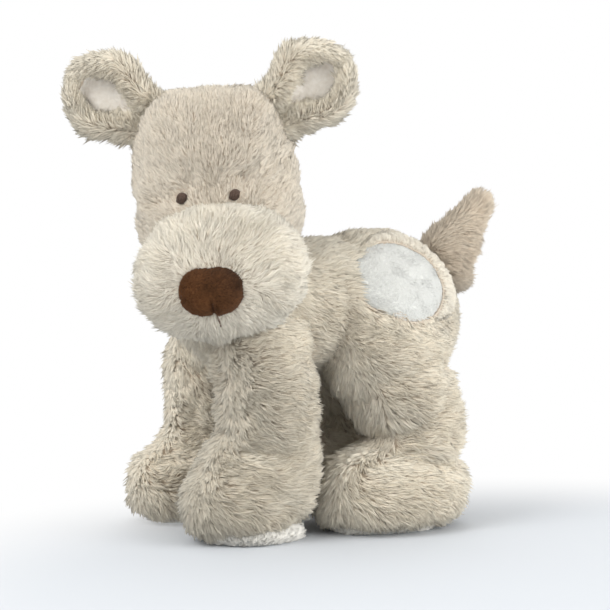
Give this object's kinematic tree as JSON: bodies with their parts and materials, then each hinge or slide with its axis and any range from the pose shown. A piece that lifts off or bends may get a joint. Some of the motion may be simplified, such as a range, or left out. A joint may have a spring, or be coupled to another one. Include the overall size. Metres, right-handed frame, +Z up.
{
  "type": "plush dog",
  "caption": "Standing stuffed plush dog with a large pillow-shaped muzzle, cupped ears, an upright tail, stout legs and its head turned to one side.",
  "frame": {"origin": "middle of the bounding box's footprint, on the floor under the feet", "axes": "+Z up, the body faces -Y, +X is the dog's own left side"},
  "size_m": [0.1322, 0.2366, 0.2702],
  "materials": {
    "plush": "long soft pile, matte",
    "fleece": "short white fleece, matte",
    "lining": "short velour pile, matte",
    "nose_velour": "short brown pile with a slight sheen",
    "thread": "embroidery thread, satin",
    "fibre": "loose white fibre fill, matte"
  },
  "bodies": {
    "torso": {"torso_cover": "plush", "belly_gusset": "lining", "torso_stuffing": "fibre", "rump_patch": "fleece"},
    "neck": {"neck_stuffing": "fibre"},
    "head": {"head_cover": "plush", "head_stuffing": "fibre", "muzzle_cover": "plush", "muzzle_stuffing": "fibre", "nose": "nose_velour", "mouth_stitch": "thread", "eye_left": "thread", "eye_right": "thread"},
    "ear_left": {"ear_left_cover": "plush", "ear_left_lining": "lining"},
    "ear_right": {"ear_right_cover": "plush", "ear_right_lining": "lining"},
    "leg_front_left": {"leg_front_left_cover": "plush", "leg_front_left_stuffing": "fibre", "leg_front_left_sole": "fleece"},
    "leg_front_right": {"leg_front_right_cover": "plush", "leg_front_right_stuffing": "fibre", "leg_front_right_sole": "fleece"},
    "leg_hind_left": {"leg_hind_left_cover": "plush", "leg_hind_left_stuffing": "fibre", "leg_hind_left_sole": "fleece"},
    "leg_hind_right": {"leg_hind_right_cover": "plush", "leg_hind_right_stuffing": "fibre", "leg_hind_right_sole": "fleece"},
    "tail": {"tail_cover": "plush", "tail_stuffing": "fibre"}
  },
  "joints": [
    {"name": "neck_turn", "type": "hinge", "parent": "torso", "child": "neck", "pos_m": [0, -0.0415, 0.136], "axis": [0, 0, 1], "range_deg": [-20, 20], "stiffness_Nm_per_rad": 1.5},
    {"name": "head_nod", "type": "hinge", "parent": "neck", "child": "head", "pos_m": [0, -0.0415, 0.136], "axis": [0.5, 0.866, 0], "range_deg": [-8, 4], "stiffness_Nm_per_rad": 3},
    {"name": "ear_left_fold", "type": "hinge", "parent": "head", "child": "ear_left", "pos_m": [0.01288, -0.019, 0.22962], "axis": [0.3147, 0.545, -0.7771], "range_deg": [-20, 20], "stiffness_Nm_per_rad": 0.3},
    {"name": "ear_right_fold", "type": "hinge", "parent": "head", "child": "ear_right", "pos_m": [-0.02099, -0.07767, 0.22369], "axis": [0.2424, 0.4199, 0.8746], "range_deg": [-20, 20], "stiffness_Nm_per_rad": 0.3},
    {"name": "tail_wag", "type": "hinge", "parent": "torso", "child": "tail", "pos_m": [-0.00209, 0.08953, 0.142], "axis": [0, -0.8192, 0.5736], "range_deg": [-20, 20], "stiffness_Nm_per_rad": 0.3},
    {"name": "leg_front_left_swing", "type": "hinge", "parent": "torso", "child": "leg_front_left", "pos_m": [0.02891, -0.03247, 0.08], "axis": [1, 0, 0], "range_deg": [-14, 0], "stiffness_Nm_per_rad": 8},
    {"name": "leg_front_right_swing", "type": "hinge", "parent": "torso", "child": "leg_front_right", "pos_m": [-0.03509, -0.03247, 0.08], "axis": [1, 0, 0], "range_deg": [-14, 0], "stiffness_Nm_per_rad": 8},
    {"name": "leg_hind_left_swing", "type": "hinge", "parent": "torso", "child": "leg_hind_left", "pos_m": [0.03291, 0.04753, 0.08], "axis": [1, 0, 0], "range_deg": [0, 14], "stiffness_Nm_per_rad": 8},
    {"name": "leg_hind_right_swing", "type": "hinge", "parent": "torso", "child": "leg_hind_right", "pos_m": [-0.03709, 0.04753, 0.08], "axis": [1, 0, 0], "range_deg": [0, 14], "stiffness_Nm_per_rad": 8}
  ]
}
